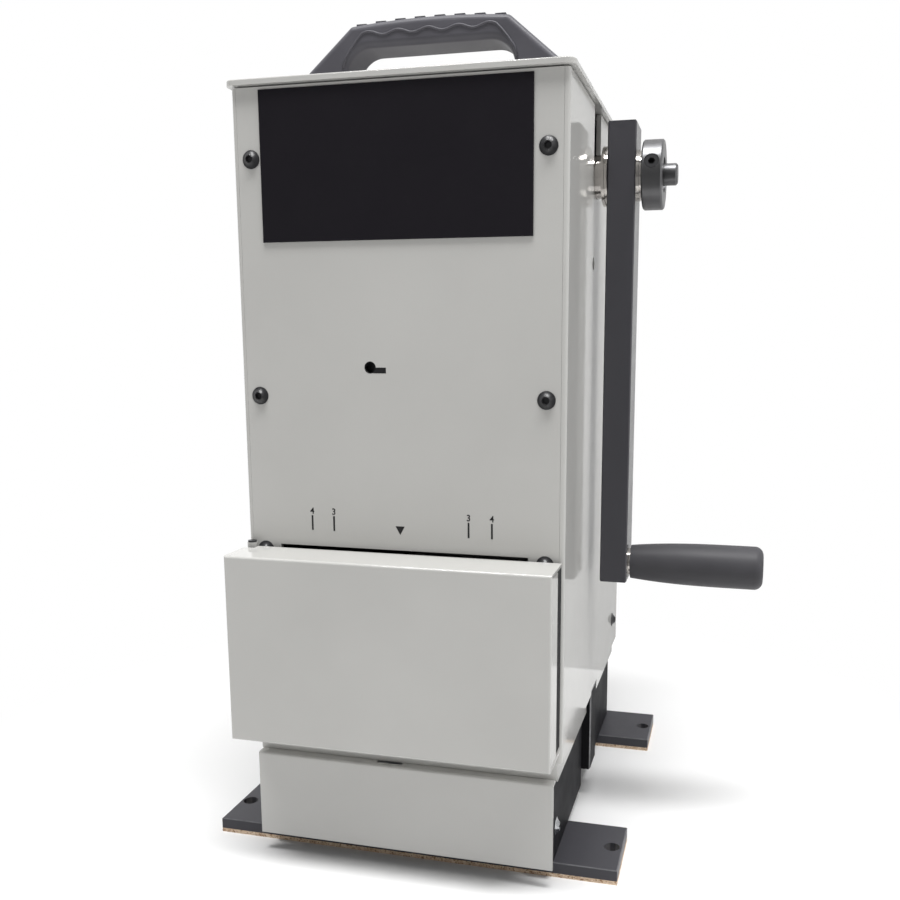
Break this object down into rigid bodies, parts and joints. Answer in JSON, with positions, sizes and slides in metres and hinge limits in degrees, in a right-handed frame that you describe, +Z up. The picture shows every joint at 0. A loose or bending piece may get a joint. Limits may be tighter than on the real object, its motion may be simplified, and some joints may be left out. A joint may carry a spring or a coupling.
{
  "type": "hard drive crusher",
  "caption": "Hand-cranked bench crusher for hard drives: an upright steel housing with a side crank, geared ram and wedge, hinged front door and carry handle.",
  "frame": {"origin": "centre of the four bench-bolt holes in the feet, on the surface that the cork pads stand on", "axes": "+X towards the crank side, -Y towards the front with the door, +Z up"},
  "size_m": [0.3107, 0.2625, 0.47],
  "materials": {
    "body_paint": "light warm grey fine-texture powder coat, semi-gloss",
    "black_paint": "satin black paint on steel",
    "foot_paint": "satin charcoal paint on steel bar",
    "cork": "speckled cork sheet",
    "black_oxide": "black oxide",
    "label_face": "satin black overlay, bare",
    "zinc": "bright zinc plate",
    "handle_plastic": "moulded dark grey plastic",
    "grip_plastic": "matte black moulded grip",
    "bright_steel": "bright plated steel",
    "dark_steel": "dark oxided turned steel",
    "machined_steel": "machined steel, lightly oiled",
    "tool_steel": "hardened dark steel",
    "bronze": "sintered bronze",
    "arm_paint": "semi-gloss charcoal paint",
    "ferrite": "dark ferrite block",
    "rubber": "black rubber strip"
  },
  "bodies": {
    "frame": {"front_foot_bar": "foot_paint", "rear_foot_bar": "foot_paint", "front_cork_pad": "cork", "rear_cork_pad": "cork", "foot_screws": "black_oxide", "left_side_plate": "black_paint", "right_side_plate": "black_paint", "anvil_beam": "black_paint", "anvil_block": "tool_steel", "anvil_screws": "black_oxide", "base_tray": "body_paint", "tray_bolts": "zinc", "front_panel": "body_paint", "front_panel_screws": "black_oxide", "label_plate": "label_face", "left_side_cover": "body_paint", "right_side_cover": "body_paint", "cover_rails": "body_paint", "cover_spacers": "zinc", "cover_screws": "black_oxide", "rear_cover": "body_paint", "rear_cover_screws": "black_oxide", "top_lid": "body_paint", "lid_screws": "black_oxide", "carry_handle": "handle_plastic", "handle_screws": "black_oxide", "back_plate": "black_paint", "frame_screws": "black_oxide", "upper_guide_block": "machined_steel", "lower_guide_block": "machined_steel", "guide_screws": "black_oxide", "left_crank_bush": "bronze", "right_crank_bush": "bright_steel", "main_shaft_bushes": "bronze", "hinge_fixed_leaf": "body_paint", "hinge_pin": "black_oxide", "hinge_screws": "zinc", "door_magnet": "ferrite", "door_strip": "rubber"},
    "crank": {"crank_shaft": "dark_steel", "crank_pinion": "machined_steel", "crank_arm": "arm_paint", "inner_washers": "bright_steel", "outer_washers": "bright_steel", "shaft_collar": "dark_steel", "collar_set_screw": "black_oxide", "grip_spindle": "machined_steel", "grip_washer": "bright_steel"},
    "grip": {"crank_grip": "grip_plastic"},
    "main_drive": {"main_shaft": "machined_steel", "main_gear": "machined_steel", "rack_pinion": "machined_steel"},
    "ram": {"ram_bar": "machined_steel", "wedge": "tool_steel", "wedge_pin": "machined_steel", "ready_flag": "black_oxide"},
    "door": {"door_shell": "body_paint", "hinge_door_leaf": "body_paint", "door_strike": "zinc"}
  },
  "joints": [
    {"name": "crank_turn", "type": "hinge", "parent": "frame", "child": "crank", "pos_m": [0, -0.0282, 0.386], "axis": [1, 0, 0], "range_deg": [0, 700]},
    {"name": "grip_spin", "type": "hinge", "parent": "crank", "child": "grip", "pos_m": [0.15, -0.0282, 0.162], "axis": [1, 0, 0], "continuous": true},
    {"name": "main_turn", "type": "hinge", "parent": "frame", "child": "main_drive", "pos_m": [0, -0.0312, 0.30105], "axis": [1, 0, 0], "range_deg": [-150.5, 0]},
    {"name": "ram_slide", "type": "slide", "parent": "frame", "child": "ram", "axis": [0, 0, -1], "range_m": [0, 0.0472]},
    {"name": "door_swing", "type": "hinge", "parent": "frame", "child": "door", "pos_m": [-0.0861, -0.1222, 0.132], "axis": [0, 0, -1], "range_deg": [0, 110]}
  ],
  "couplings": [
    {"joint": "main_turn", "follows": "crank_turn", "ratio": -0.21429},
    {"joint": "ram_slide", "follows": "crank_turn", "m_per_rad": 0.0038571}
  ]
}
